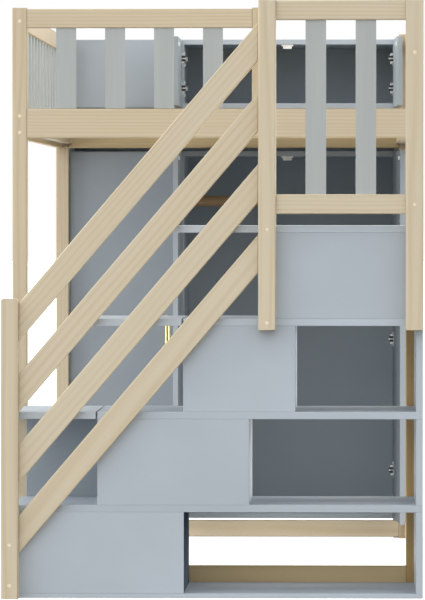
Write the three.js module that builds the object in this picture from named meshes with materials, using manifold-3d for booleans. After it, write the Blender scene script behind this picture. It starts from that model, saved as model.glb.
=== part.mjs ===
// Loft bed with a cupboard staircase across its front end and a three column wardrobe at its rear end.
// Millimetres, +Z up. X runs across the bed, Y runs back from the staircase to the wardrobe.
// Inside the assembly Y is 0 on the front face of the stair posts, and Z is 0 on the floor.
import * as THREE from 'three';
import { mergeVertices } from 'three/addons/utils/BufferGeometryUtils.js';
import Module from 'manifold-3d';

const wasm = await Module();
wasm.setup();

// Bed frame
const bedWidth = 1070;
const postHeight = 1515;
const bedPost = 39;
const mattressLength = 1910;
const railThickness = 20;
const beamBottom = 1174;
const beamHeight = 77;
const timberRadius = 3;

// Guards: a top rail with grey slats below it
const guardRailHeight = 50;
const guardRailDrop = 3;
const slatWidth = 52;
const slatThickness = 12;
const slatTenon = 8;
const frontSlatCount = 4;
const sideSlatCount = 14;
const landingSlatCount = 2;
const entryWidth = 364;

// Mattress support
const ledgerWidth = 28;
const ledgerHeight = 20;
const ledgerLift = 13;
const deckSlatWidth = 70;
const deckSlatThickness = 12;
const deckSlatCount = 13;
const deckClearance = 2;

// Rails near the floor
const bottomRailLift = 5;
const bottomRailHeight = 50;

// Staircase
const stairPost = 45;
const stairPostRadius = 4;
const newelHeight = 761;
const newelTopRadius = 9;
const landingPostBottom = 682;
const midPostCentre = 140;
const stairDepth = 410;
const rise = 236.5;
const run = 218;
const stairInset = 26;
const stairBoard = 18;
const baseBoard = 11.5;
const nosing = 20;
const treadRadius = 3;
const treadSeam = 4.5;
const frontPanelEnds = [-71.5, 94, 211];
const cubbyBackThickness = 12;
const cubbyBackLeft = -498;

// Sloping boards between the newel and the landing post
const slopeBoardCount = 4;
const slopeBoardThickness = 22;
const slopeBoardDepth = 62.5;
const slopeBoardPitch = 179;
const slopeStartHeight = 748;
const slopeRise = 712;
const slopeBevel = 2;

// Recesses in the posts for the cover caps of the bolts, given by their heights on each face
const capRadius = 5.5;
const capDepth = 3;
const capSides = 16;
const bedCaps = { front: [1189, 1232, 1480] };
const newelCaps = { front: [34, 136], left: [227, 394, 538, 677.5] };
const landingLeftCaps = { front: [700, 936], right: [875, 1038, 1202, 1371.5] };
const landingRightCaps = { front: [999, 1383], right: [1182, 1429] };

// Landing guard
const landingRailThickness = 22;
const landingLowRailBottom = 975;

// Wardrobe carcass
const wardrobeBoard = 15;
const dividerThickness = 30;
const dividerCentre = -165;
const carcassDepth = 395;
const backThickness = 5;
const wardrobeTop = 1501;
const wardrobeFloor = 58;
const lowerRoof = 1150;
const upperFloor = 1294;
const shelfSetback = 20;

// Doors
const doorThickness = 15;
const doorGap = 3;
const pairEdgeOffset = 7;
const doorPostGap = 2.5;
const doorBoardReveal = 2;
const doorBeamGap = 0.5;
const doorBufferGap = 1.5;
const openAngles = {
  lower: { left: 0, middle: 90, right: 93.25 },
  upper: { left: 0, middle: 90, right: 91.75 },
};

// Hinges: a pin close to the hinged front corner of each door
const pivotInset = 5;
const pinRadius = 1.5;
const pinHalf = 11;
const knuckleRadius = 3;
const knuckleHalf = 5;
const hingeClearance = 0.5;
const pinClearance = 0.3;
const cupRadius = 17.5;
const cupWall = 2;
const cupDepth = 10;
const cupMargin = 3;
const flangeProud = 1;
const flangeHeight = 52;
const flangeWidth = 14;
const plateHeight = 48;
const plateLength = 22;
const plateThickness = 2.5;
const armLength = 52;
const armHeight = 13;
const armThickness = 10;
const sunk = 1;
const lowerHingeCount = 3;
const lowerHingeFootInset = 147;
const lowerHingeHeadInset = 168;
const upperHingeCount = 2;
const upperHingeInset = 57;
const plateSetback = 12;

// Bow handles on the lower doors
const handleLength = 114;
const handleFlat = 43;
const handleProjection = 14.5;
const handleBar = 6;
const handleFoot = 9;
const handleFootPull = 6;
const handleCrownPull = 12;
const handleInnerPull = 10;
const handleWidth = 7;
const handleEdgeInset = 28;
const handleHeight = 620;
const restingGap = 0.3;

// Hanging rod and its sockets
const rodRadius = 16;
const rodDrop = 135;
const rodSetback = 190;
const rodClearance = 0.4;
const socketWall = 6;
const socketDepth = 14;
const roundSides = 24;

// Magnetic catches under the tops
const catchWidth = 36;
const catchDepth = 14;
const catchHeight = 5;
const catchMagnetWidth = 26;
const catchMagnetHeight = 8;
const catchSetback = 3;
const catchEdgeInset = 40;

// Places worked out from the sizes above
const halfWidth = bedWidth / 2;
const postInner = halfWidth - bedPost;
const railInner = halfWidth - railThickness;
const beamTop = beamBottom + beamHeight;
const stairBack = stairPost + stairDepth;
const frontPostBack = stairBack + bedPost;
const rearPostFront = stairBack + railThickness + mattressLength;
const sideSpan = rearPostFront - frontPostBack;
const guardTop = postHeight - guardRailDrop;
const ledgerBottom = beamBottom + ledgerLift;
const entryPostRight = postInner - entryWidth;
const entryPostLeft = entryPostRight - bedPost;
const newelRight = stairPost - halfWidth;
const landingRightPostLeft = halfWidth - stairPost;
const midPostLeft = midPostCentre - stairPost / 2;
const midPostRight = midPostCentre + stairPost / 2;
const stairLeft = stairInset - halfWidth;
const sidePanelLeft = halfWidth - stairBoard;
const doorFront = rearPostFront + railThickness + doorBeamGap;
const carcassFront = doorFront + doorThickness + doorBufferGap;
const carcassBack = carcassFront + carcassDepth;
const boardBack = carcassBack - backThickness;
const sideInner = postInner - wardrobeBoard;
const dividerLeft = dividerCentre - dividerThickness / 2;
const dividerRight = dividerCentre + dividerThickness / 2;
const doorEdge = postInner - doorPostGap;
const pairLeft = dividerCentre - pairEdgeOffset;
const pairWidth = (doorEdge - pairLeft - doorGap) / 2;
const pairMeeting = pairLeft + pairWidth + doorGap / 2;
const leftDoorWidth = pairLeft - doorGap + doorEdge;
const pivotY = doorFront + pivotInset;
const pivotToCarcass = carcassFront - pivotY;
const lowerDoorBottom = wardrobeFloor + doorBoardReveal;
const lowerDoorTop = lowerRoof + wardrobeBoard - doorBoardReveal;
const upperDoorBottom = upperFloor + doorBoardReveal;
const upperDoorTop = wardrobeTop - doorBoardReveal;
const rodY = carcassFront + rodSetback;
const rodHeight = lowerRoof - rodDrop;
const steps = (count) => Array.from({ length: count }, (_, index) => index);
const spread = (from, to, count) => steps(count).map((index) => from + index * (to - from) / (count - 1));
const lowerHingeEnds = [lowerDoorBottom + lowerHingeFootInset, lowerDoorTop - lowerHingeHeadInset];
const lowerHingeHeights = spread(...lowerHingeEnds, lowerHingeCount);
const upperHingeEnds = [upperDoorBottom + upperHingeInset, upperDoorTop - upperHingeInset];
const upperHingeHeights = spread(...upperHingeEnds, upperHingeCount);
const overallLength = carcassBack;

// Materials
function finish(color, roughness, metalness = 0) {
  return new THREE.MeshStandardMaterial({ color, roughness, metalness });
}

const pine = () => finish(0xcdbf9f, 0.6);
const panel = () => finish(0xadb6bf, 0.55);
const slatGrey = () => finish(0xacb2ae, 0.6);
const deckWood = () => finish(0xd6c9a8, 0.7);
const brass = () => finish(0xd8cf95, 0.3, 0.9);

// Shape helpers
const assembly = new THREE.Group();
assembly.position.y = -overallLength / 2;

function addPart(name, material, geometry, position = [0, 0, 0], parent = assembly) {
  const mesh = new THREE.Mesh(geometry, material);
  mesh.name = name;
  mesh.position.set(...position);
  parent.add(mesh);
  return mesh;
}

const sizeOf = (low, high) => high.map((value, axis) => value - low[axis]);
const middleOf = (low, high) => high.map((value, axis) => (value + low[axis]) / 2);

function boxBetween(low, high) {
  return new THREE.BoxGeometry(...sizeOf(low, high)).translate(...middleOf(low, high));
}

// A board with square edges, placed by two opposite corners
function addBoard(name, material, low, high) {
  return addPart(name, material, new THREE.BoxGeometry(...sizeOf(low, high)), middleOf(low, high));
}

function roundedRectangle(width, height, radius) {
  const right = width / 2 - radius;
  const top = height / 2 - radius;
  const shape = new THREE.Shape();
  shape.absarc(right, top, radius, 0, Math.PI / 2);
  shape.absarc(-right, top, radius, Math.PI / 2, Math.PI);
  shape.absarc(-right, -top, radius, Math.PI, Math.PI * 1.5);
  shape.absarc(right, -top, radius, Math.PI * 1.5, Math.PI * 2);
  return shape;
}

const unit = [new THREE.Vector3(1, 0, 0), new THREE.Vector3(0, 1, 0), new THREE.Vector3(0, 0, 1)];

// A bar with eased long edges, centred on its own middle and running along its longest side
function timber(size, radius) {
  const along = size.indexOf(Math.max(...size));
  const across = (along + 1) % 3;
  const up = (along + 2) % 3;
  const shape = roundedRectangle(size[across], size[up], radius);
  const extrusion = { depth: size[along], bevelEnabled: false, curveSegments: 1 };
  const bar = new THREE.ExtrudeGeometry(shape, extrusion);
  bar.translate(0, 0, -size[along] / 2);
  return bar.applyMatrix4(new THREE.Matrix4().makeBasis(unit[across], unit[up], unit[along]));
}

function timberBetween(low, high, radius = timberRadius) {
  return timber(sizeOf(low, high), radius).translate(...middleOf(low, high));
}

function addTimber(name, material, low, high, radius = timberRadius) {
  return addPart(name, material, timber(sizeOf(low, high), radius), middleOf(low, high));
}

// A front view outline in X and Z, given thickness along +Y
function extrudeAlongY(shape, thickness, bevel = 0) {
  const settings = { depth: thickness - 2 * bevel, bevelEnabled: bevel > 0, curveSegments: 3 };
  const bevelling = { bevelThickness: bevel, bevelSize: bevel, bevelOffset: -bevel, bevelSegments: 1 };
  const solid = new THREE.ExtrudeGeometry(shape, { ...settings, ...bevelling });
  solid.translate(0, 0, bevel - thickness);
  return solid.applyMatrix4(new THREE.Matrix4().makeBasis(unit[0], unit[2], unit[1].clone().negate()));
}

function solidOf(geometry) {
  const bare = geometry.clone();
  bare.deleteAttribute('normal');
  bare.deleteAttribute('uv');
  const merged = mergeVertices(bare, 1e-4);
  const vertProperties = merged.attributes.position.array;
  const triVerts = new Uint32Array(merged.index.array);
  return new wasm.Manifold(new wasm.Mesh({ numProp: 3, vertProperties, triVerts }));
}

function geometryOf(solid) {
  const mesh = solid.getMesh();
  const geometry = new THREE.BufferGeometry();
  geometry.setAttribute('position', new THREE.BufferAttribute(mesh.vertProperties, 3));
  geometry.setIndex(new THREE.BufferAttribute(mesh.triVerts, 1));
  geometry.computeVertexNormals();
  return geometry;
}

const joinSolids = (geometries) => geometries.map(solidOf).reduce((whole, piece) => whole.add(piece));
const join = (...geometries) => geometryOf(joinSolids(geometries));
const cutAway = (bodies, tools) => geometryOf(joinSolids(bodies).subtract(joinSolids(tools)));

function upright(radius, halfHeight, sides = roundSides) {
  return new THREE.CylinderGeometry(radius, radius, 2 * halfHeight, sides).rotateX(Math.PI / 2);
}

function acrossX(radius, length) {
  return new THREE.CylinderGeometry(radius, radius, length, roundSides).rotateZ(Math.PI / 2);
}

// Centres of equal slats with equal gaps between them and at both ends
function evenCentres(span, width, count) {
  const gap = (span - count * width) / (count + 1);
  return steps(count).map((index) => gap + width / 2 + index * (width + gap));
}

// A post with recesses for the caps of its bolts. The places on its faces are given in parts of its width.
const capFaces = { front: [0.5, 0], left: [0, 0.5], right: [1, 0.5] };

function boltedPost(width, bottom, top, radius, caps) {
  const bar = timberBetween([0, 0, 0], [width, width, top - bottom], radius);
  const recesses = Object.entries(caps).flatMap(([face, heights]) => heights.map((height) => {
    const [x, y] = capFaces[face];
    const recess = new THREE.CylinderGeometry(capRadius, capRadius, 2 * capDepth, capSides);
    if (face !== 'front') recess.rotateZ(Math.PI / 2);
    return recess.translate(x * width, y * width, height - bottom);
  }));
  return cutAway([bar], recesses);
}

// Bed posts
for (const [side, left] of [['left', -halfWidth], ['right', postInner]]) {
  const frontPost = boltedPost(bedPost, 0, postHeight, timberRadius, bedCaps);
  addPart(`front_${side}_post`, pine(), frontPost, [left, stairBack, 0]);
  const rearHigh = [left + bedPost, rearPostFront + bedPost, postHeight];
  addTimber(`rear_${side}_post`, pine(), [left, rearPostFront, 0], rearHigh);
}
const entryHigh = [entryPostRight, frontPostBack, postHeight];
addTimber('entry_post', pine(), [entryPostLeft, stairBack, beamTop], entryHigh);

// Beams round the mattress and rails near the floor
const endRails = [
  ['front', stairBack],
  ['rear', rearPostFront],
];
const railTop = bottomRailLift + bottomRailHeight;
for (const [end, front] of endRails) {
  const back = front + railThickness;
  addTimber(`${end}_beam`, pine(), [-postInner, front, beamBottom], [postInner, back, beamTop]);
  addTimber(`${end}_bottom_rail`, pine(), [-postInner, front, bottomRailLift], [postInner, back, railTop]);
}
const sideRails = [
  ['left_beam', -halfWidth, beamBottom, beamTop],
  ['right_beam', railInner, beamBottom, beamTop],
  ['right_bottom_rail', railInner, bottomRailLift, railTop],
];
for (const [name, left, bottom, top] of sideRails) {
  const high = [left + railThickness, rearPostFront, top];
  addTimber(name, pine(), [left, frontPostBack, bottom], high);
}

// A guard along +X from its own origin: slats standing at Z 0, tenoned into a top rail and a low rail
function guard(span, height, thickness, count, lowRail = 0) {
  const rails = [timberBetween([0, 0, height - guardRailHeight], [span, thickness, height])];
  if (lowRail > 0) rails.push(timberBetween([0, 0, 0], [span, thickness, lowRail]));
  const front = (thickness - slatThickness) / 2;
  const foot = lowRail > 0 ? lowRail - slatTenon : 0;
  const head = height - guardRailHeight + slatTenon;
  const slats = evenCentres(span, slatWidth, count).map((centre) => boxBetween(
    [centre - slatWidth / 2, front, foot],
    [centre + slatWidth / 2, front + slatThickness, head],
  ));
  return join(...rails, ...slats);
}

const guardHeight = guardTop - beamTop;
const frontGuard = guard(entryPostLeft + postInner, guardHeight, railThickness, frontSlatCount);
addPart('front_guard', slatGrey(), frontGuard, [-postInner, stairBack, beamTop]);
for (const [name, edge] of [['left_guard', -railInner], ['right_guard', halfWidth]]) {
  const sideGuard = guard(sideSpan, guardHeight, railThickness, sideSlatCount);
  addPart(name, slatGrey(), sideGuard, [edge, frontPostBack, beamTop]).rotation.z = Math.PI / 2;
}

// Mattress deck: two ledgers along the side beams carry the slats
const deckHalf = railInner - deckClearance;
const deckLedgers = [-1, 1].map((side) => {
  const edges = [side * railInner, side * (railInner - ledgerWidth)].sort((a, b) => a - b);
  return boxBetween([edges[0], 0, 0], [edges[1], sideSpan, ledgerHeight]);
});
const deckSlatEnds = [ledgerHeight - sunk, ledgerHeight + deckSlatThickness];
const deckSlats = evenCentres(sideSpan, deckSlatWidth, deckSlatCount).map((centre) => boxBetween(
  [-deckHalf, centre - deckSlatWidth / 2, deckSlatEnds[0]],
  [deckHalf, centre + deckSlatWidth / 2, deckSlatEnds[1]],
));
addPart('slat_deck', deckWood(), join(...deckLedgers, ...deckSlats), [0, frontPostBack, ledgerBottom]);

// Newel post with its top corners rounded in the front view
const newelShoulder = newelHeight - newelTopRadius;
const newelOutline = new THREE.Shape();
newelOutline.moveTo(0, 0);
newelOutline.lineTo(stairPost, 0);
newelOutline.lineTo(stairPost, newelShoulder);
newelOutline.absarc(stairPost - newelTopRadius, newelShoulder, newelTopRadius, 0, Math.PI / 2);
newelOutline.absarc(newelTopRadius, newelShoulder, newelTopRadius, Math.PI / 2, Math.PI);
const newelBar = boltedPost(stairPost, 0, newelHeight, stairPostRadius, newelCaps);
const newel = solidOf(newelBar).intersect(solidOf(extrudeAlongY(newelOutline, stairPost)));
addPart('newel_post', pine(), geometryOf(newel), [-halfWidth, 0, 0]);

// Landing posts hang on the front of the top box
const landingPosts = [
  ['landing_left_post', midPostLeft, landingLeftCaps],
  ['landing_right_post', landingRightPostLeft, landingRightCaps],
];
for (const [name, left, caps] of landingPosts) {
  const post = boltedPost(stairPost, landingPostBottom, postHeight, stairPostRadius, caps);
  addPart(name, pine(), post, [left, 0, landingPostBottom]);
}

// Sloping boards, cut upright where they meet the posts
const slopeRun = midPostLeft - newelRight;
const slopeBoardUpright = slopeBoardDepth * Math.hypot(slopeRise, slopeRun) / slopeRun;
const slopeOutline = new THREE.Shape([
  new THREE.Vector2(0, 0),
  new THREE.Vector2(slopeRun, slopeRise),
  new THREE.Vector2(slopeRun, slopeRise - slopeBoardUpright),
  new THREE.Vector2(0, -slopeBoardUpright),
]);
for (let index = 0; index < slopeBoardCount; index += 1) {
  const slopeBoard = extrudeAlongY(slopeOutline, slopeBoardThickness, slopeBevel);
  const place = [newelRight, stairPost - slopeBoardThickness, slopeStartHeight - index * slopeBoardPitch];
  addPart(`sloping_board_${index + 1}`, pine(), slopeBoard, place);
}

// Landing guard between the landing posts
const landingSpan = landingRightPostLeft - midPostRight;
const landingGuardHeight = postHeight - landingLowRailBottom;
const landingGuardSize = [landingSpan, landingGuardHeight, landingRailThickness];
const landingGuard = guard(...landingGuardSize, landingSlatCount, guardRailHeight);
const landingGuardFront = (stairPost - landingRailThickness) / 2;
const landingGuardPlace = [midPostRight, landingGuardFront, landingLowRailBottom];
addPart('landing_guard', slatGrey(), landingGuard, landingGuardPlace);

// Stair cupboard: level boards, with a box between each pair whose front panel covers part of the width
const levelLeft = (level) => stairLeft + run * (level - 1);
const boardAbove = (level) => [rise * level - stairBoard, rise * level];
const boxFloor = (level) => (level === 1 ? baseBoard : rise * (level - 1));
addBoard('stair_base_board', panel(), [stairLeft, stairPost, 0], [halfWidth, stairBack, baseBoard]);

// Plan of a box: left side, front panel and the divider behind the panel's right edge
function boxPlan(width, closedRight) {
  const plan = new THREE.Shape();
  plan.moveTo(0, 0);
  plan.lineTo(width, 0);
  plan.lineTo(width, closedRight ? stairDepth : stairBoard);
  if (closedRight) {
    plan.lineTo(width - stairBoard, stairDepth);
    plan.lineTo(width - stairBoard, stairBoard);
  }
  plan.lineTo(stairBoard, stairBoard);
  plan.lineTo(stairBoard, stairDepth);
  plan.lineTo(0, stairDepth);
  return plan;
}

for (let level = 1; level <= 4; level += 1) {
  const left = levelLeft(level);
  const [under, top] = boardAbove(level);
  const floor = boxFloor(level);
  addBoard(`stair_board_${level}`, panel(), [left, stairPost, under], [halfWidth, stairBack, top]);
  const sideLow = [sidePanelLeft, stairPost, floor];
  addBoard(`stair_side_${level}`, panel(), sideLow, [halfWidth, stairBack, under]);
  const closedRight = level < 4;
  const right = closedRight ? frontPanelEnds[level - 1] : sidePanelLeft;
  const plan = boxPlan(right - left, closedRight);
  const box = new THREE.ExtrudeGeometry(plan, { depth: under - floor, bevelEnabled: false });
  addPart(`step_box_${level}`, panel(), box, [left, stairPost, floor]);
}

// Separate treads, each one run to the left of the box at its own height
function treadOutline(length) {
  const shape = new THREE.Shape();
  shape.moveTo(length, 0);
  shape.lineTo(length, stairBoard);
  shape.absarc(treadRadius, stairBoard - treadRadius, treadRadius, Math.PI / 2, Math.PI);
  shape.absarc(treadRadius, treadRadius, treadRadius, Math.PI, Math.PI * 1.5);
  return shape;
}

for (let level = 2; level <= 4; level += 1) {
  const tread = extrudeAlongY(treadOutline(run + nosing - treadSeam), stairDepth);
  const treadLeft = levelLeft(level) - run - nosing;
  addPart(`tread_${level}`, panel(), tread, [treadLeft, stairPost, boardAbove(level)[0]]);
}
const cubbyBackFront = stairBack - cubbyBackThickness;
const cubbyBackHigh = [levelLeft(2), stairBack, boardAbove(2)[0]];
addBoard('cubby_back', panel(), [cubbyBackLeft, cubbyBackFront, rise], cubbyBackHigh);

// One hinge in the pivot's own frame: pin, knuckle and nose at the front edge of the panel,
// mounting plate and arm on the panel's inner face. The door runs towards +X when side is 1.
function hingeArm(side, pivotToInner) {
  const span = (from, to) => [side * from, side * to].sort((a, b) => a - b);
  const noseX = span(-knuckleRadius, knuckleRadius);
  const plateX = span(pivotToInner - sunk, pivotToInner + plateThickness);
  const armX = span(pivotToInner + plateThickness - sunk, pivotToInner + armThickness);
  const plateFront = pivotToCarcass + sunk;
  return [
    upright(pinRadius, pinHalf, 12),
    upright(knuckleRadius, knuckleHalf, 12),
    boxBetween([noseX[0], 0, -knuckleHalf], [noseX[1], pivotToCarcass + sunk, knuckleHalf]),
    boxBetween(
      [plateX[0], plateFront + plateSetback, -plateHeight / 2],
      [plateX[1], plateFront + plateSetback + plateLength, plateHeight / 2],
    ),
    boxBetween([armX[0], plateFront, -armHeight / 2], [armX[1], plateFront + armLength, armHeight / 2]),
  ];
}

function hingesAt(pivotX, side, pivotToInner, heights) {
  return heights.flatMap((height) => hingeArm(side, pivotToInner)
    .map((piece) => piece.translate(pivotX, pivotY, height)));
}

// Wardrobe panels with their hinges and the sockets of the hanging rod
const leftPivot = pivotInset - doorEdge;
const middlePivot = pairLeft + pivotInset;
const rightPivot = doorEdge - pivotInset;
const edgeCover = Math.abs(leftPivot) - sideInner;
const dividerCover = dividerRight - middlePivot;
const allHinges = [...lowerHingeHeights, ...upperHingeHeights];

function socket(faceX, inward) {
  const ring = acrossX(rodRadius + rodClearance + socketWall, socketDepth + sunk);
  const bore = acrossX(rodRadius + rodClearance, socketDepth);
  const ringX = faceX + inward * (socketDepth - sunk) / 2;
  const boreX = faceX + inward * socketDepth / 2;
  const place = [rodY, rodHeight];
  return { ring: ring.translate(ringX, ...place), bore: bore.translate(boreX, ...place) };
}

const leftPanel = boxBetween([-postInner, carcassFront, 0], [-sideInner, carcassBack, wardrobeTop]);
const leftHinges = hingesAt(leftPivot, 1, edgeCover, allHinges);
addPart('wardrobe_left_side', panel(), join(leftPanel, ...leftHinges));

const rightPanel = boxBetween([sideInner, carcassFront, 0], [postInner, carcassBack, wardrobeTop]);
const rightHinges = hingesAt(rightPivot, -1, edgeCover, allHinges);
const rightSocket = socket(sideInner, -1);
const rightSide = cutAway([rightPanel, ...rightHinges, rightSocket.ring], [rightSocket.bore]);
addPart('wardrobe_right_side', panel(), rightSide);

// Shelves of the left column, one midway between each two hinges, fixed to the lower divider
const shelves = lowerHingeHeights.slice(1)
  .map((height, index) => (height + lowerHingeHeights[index]) / 2)
  .map((centre) => boxBetween(
    [-sideInner, carcassFront + shelfSetback, centre - wardrobeBoard / 2],
    [dividerLeft + sunk, boardBack, centre + wardrobeBoard / 2],
  ));
const lowerDividerLow = [dividerLeft, carcassFront, wardrobeFloor + wardrobeBoard];
const lowerDivider = boxBetween(lowerDividerLow, [dividerRight, boardBack, lowerRoof]);
const lowerDividerHinges = hingesAt(middlePivot, 1, dividerCover, lowerHingeHeights);
const leftSocket = socket(dividerRight, 1);
const lowerDividerBodies = [lowerDivider, ...shelves, ...lowerDividerHinges, leftSocket.ring];
addPart('wardrobe_lower_divider', panel(), cutAway(lowerDividerBodies, [leftSocket.bore]));

const upperDividerLow = [dividerLeft, carcassFront, upperFloor + wardrobeBoard];
const upperDivider = boxBetween(upperDividerLow, [dividerRight, boardBack, wardrobeTop - wardrobeBoard]);
const upperDividerHinges = hingesAt(middlePivot, 1, dividerCover, upperHingeHeights);
addPart('wardrobe_upper_divider', panel(), join(upperDivider, ...upperDividerHinges));

// Horizontal boards, the two tops with magnetic catches under them
function catchUnder(centreX, underside) {
  const front = carcassFront + catchSetback;
  const magnet = underside - catchHeight - catchMagnetHeight;
  return [
    boxBetween(
      [centreX - catchWidth / 2, front, underside - catchHeight],
      [centreX + catchWidth / 2, front + catchDepth, underside + sunk],
    ),
    boxBetween(
      [centreX - catchMagnetWidth / 2, front, magnet],
      [centreX + catchMagnetWidth / 2, front + catchDepth, underside - catchHeight + sunk],
    ),
  ];
}

function wardrobeShelfBoard(bottom) {
  return boxBetween([-sideInner, carcassFront, bottom], [sideInner, boardBack, bottom + wardrobeBoard]);
}

const leftCatch = dividerLeft - catchEdgeInset;
addPart('wardrobe_floor', panel(), wardrobeShelfBoard(wardrobeFloor));
addPart('wardrobe_upper_floor', panel(), wardrobeShelfBoard(upperFloor));
const boardsWithCatches = [
  ['wardrobe_lower_roof', lowerRoof],
  ['wardrobe_top', wardrobeTop - wardrobeBoard],
];
for (const [name, bottom] of boardsWithCatches) {
  const catches = [pairMeeting, leftCatch].flatMap((centre) => catchUnder(centre, bottom));
  addPart(name, panel(), join(wardrobeShelfBoard(bottom), ...catches));
}
const backHigh = [sideInner, carcassBack, wardrobeTop];
addBoard('wardrobe_back', panel(), [-sideInner, boardBack, wardrobeFloor], backHigh);

// Hanging rod between the divider and the right side
const rodLeft = dividerRight + restingGap;
const rodRight = sideInner - restingGap;
const rod = acrossX(rodRadius, rodRight - rodLeft);
addPart('hanging_rod', pine(), rod, [(rodLeft + rodRight) / 2, rodY, rodHeight]);

// A closed door in its pivot's frame, standing at Z 0: mortises for the knuckles and cups for the hinges
function door(width, height, side, pivotToInner, hingeHeights) {
  const span = (from, to) => [side * from, side * to].sort((a, b) => a - b);
  const leafX = span(-pivotInset, width - pivotInset);
  const inner = doorThickness - pivotInset;
  const leaf = boxBetween([leafX[0], -pivotInset, 0], [leafX[1], inner, height]);
  const mortiseX = span(-pivotInset - sunk, knuckleRadius + hingeClearance);
  const mortiseFront = -knuckleRadius - hingeClearance;
  const mortiseHalf = knuckleHalf + 2 * hingeClearance;
  const cupX = side * (pivotToInner + cupMargin + cupRadius);
  const bodies = [leaf];
  const tools = [];
  const hollowRadius = cupRadius - cupWall;
  for (const height of hingeHeights) {
    const disc = new THREE.CylinderGeometry(cupRadius, cupRadius, flangeProud + sunk, roundSides);
    const hollow = new THREE.CylinderGeometry(hollowRadius, hollowRadius, cupDepth + sunk, roundSides);
    bodies.push(disc.translate(cupX, inner + (flangeProud - sunk) / 2, height));
    bodies.push(boxBetween(
      [cupX - flangeWidth / 2, inner - sunk, height - flangeHeight / 2],
      [cupX + flangeWidth / 2, inner + flangeProud, height + flangeHeight / 2],
    ));
    tools.push(hollow.translate(cupX, inner + flangeProud + sunk / 2 - cupDepth / 2, height));
    tools.push(upright(pinRadius + pinClearance, pinHalf + pinClearance, 12).translate(0, 0, height));
    tools.push(boxBetween(
      [mortiseX[0], mortiseFront, height - mortiseHalf],
      [mortiseX[1], inner + sunk, height + mortiseHalf],
    ));
  }
  return cutAway(bodies, tools);
}

// Bow handle, seen from the side as an arch with flat feet, standing out along -Y
function bowHandle() {
  const end = handleLength / 2;
  const flat = handleFlat / 2;
  const inside = handleProjection - handleBar;
  const shape = new THREE.Shape();
  const foot = end - handleFoot;
  const crown = flat + handleCrownPull;
  const innerCrown = flat + handleInnerPull;
  shape.moveTo(-end, 0);
  shape.bezierCurveTo(handleFootPull - end, 0, -crown, handleProjection, -flat, handleProjection);
  shape.lineTo(flat, handleProjection);
  shape.bezierCurveTo(crown, handleProjection, end - handleFootPull, 0, end, 0);
  shape.lineTo(foot, 0);
  shape.bezierCurveTo(foot - handleFootPull, 0, innerCrown, inside, flat, inside);
  shape.lineTo(-flat, inside);
  shape.bezierCurveTo(-innerCrown, inside, handleFootPull - foot, 0, -foot, 0);
  const extrusion = { depth: handleWidth, bevelEnabled: false, curveSegments: 6 };
  const bow = new THREE.ExtrudeGeometry(shape, extrusion);
  bow.translate(0, 0, -handleWidth / 2);
  return bow.applyMatrix4(new THREE.Matrix4().makeBasis(unit[2], unit[1].clone().negate(), unit[0]));
}

// Doors: column name, pivot, hand, width and cover of the panel edge
const columns = [
  { name: 'left', pivot: leftPivot, side: 1, width: leftDoorWidth, cover: edgeCover },
  { name: 'middle', pivot: middlePivot, side: 1, width: pairWidth, cover: dividerCover },
  { name: 'right', pivot: rightPivot, side: -1, width: pairWidth, cover: edgeCover },
];
const rows = [
  { name: 'lower', bottom: lowerDoorBottom, top: lowerDoorTop, hinges: lowerHingeHeights, handled: true },
  { name: 'upper', bottom: upperDoorBottom, top: upperDoorTop, hinges: upperHingeHeights, handled: false },
];
for (const row of rows) {
  for (const column of columns) {
    const swing = new THREE.Group();
    swing.position.set(column.pivot, pivotY, row.bottom);
    const openAngle = openAngles[row.name][column.name];
    swing.rotation.z = THREE.MathUtils.degToRad(-column.side * openAngle);
    assembly.add(swing);
    const hingeHeights = row.hinges.map((height) => height - row.bottom);
    const leaf = door(column.width, row.top - row.bottom, column.side, column.cover, hingeHeights);
    addPart(`${row.name}_${column.name}_door`, panel(), leaf, [0, 0, 0], swing);
    if (row.handled) {
      const handleX = column.side * (column.width - pivotInset - handleEdgeInset);
      const place = [handleX, -pivotInset - restingGap, handleHeight - row.bottom];
      addPart(`${column.name}_handle`, brass(), bowHandle(), place, swing);
    }
  }
}

const loftBed = new THREE.Group();
loftBed.add(assembly);

export default loftBed;
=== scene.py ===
"""Finishes, small fittings and stage for a loft bed with stairs and a three column wardrobe.

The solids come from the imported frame. Everything here is in metres, in the frame's own axes:
X runs across the bed, Y runs back from the staircase to the wardrobe, Z is up from the floor.
"""

import math
import random

import bmesh
import bpy
from mathutils import Matrix, Vector


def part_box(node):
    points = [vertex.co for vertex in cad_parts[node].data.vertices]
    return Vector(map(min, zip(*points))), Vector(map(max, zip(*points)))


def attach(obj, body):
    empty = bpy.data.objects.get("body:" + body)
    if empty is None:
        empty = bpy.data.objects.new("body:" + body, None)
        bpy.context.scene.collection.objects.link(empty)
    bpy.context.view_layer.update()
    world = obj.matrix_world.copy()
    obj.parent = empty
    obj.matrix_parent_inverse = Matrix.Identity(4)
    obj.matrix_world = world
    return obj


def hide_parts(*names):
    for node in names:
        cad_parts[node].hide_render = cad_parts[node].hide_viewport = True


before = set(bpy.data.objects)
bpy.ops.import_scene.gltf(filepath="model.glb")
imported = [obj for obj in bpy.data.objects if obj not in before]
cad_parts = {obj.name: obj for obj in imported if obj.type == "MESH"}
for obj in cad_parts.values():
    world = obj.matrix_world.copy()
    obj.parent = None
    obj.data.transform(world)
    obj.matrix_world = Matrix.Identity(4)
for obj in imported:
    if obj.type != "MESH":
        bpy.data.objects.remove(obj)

bl_info = {
    "name": "Loft Bed Finishes",
    "version": (1, 0, 0),
    "blender": (4, 5, 0),
    "location": "View3D > Sidebar > Loft Bed",
    "description": "Finishes, fittings and stage for a loft bed with stairs and a wardrobe",
    "category": "Object",
}

MM = 0.001
ACROSS = Vector((1, 0, 0))
BACK = Vector((0, 1, 0))
UP = Vector((0, 0, 1))

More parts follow.
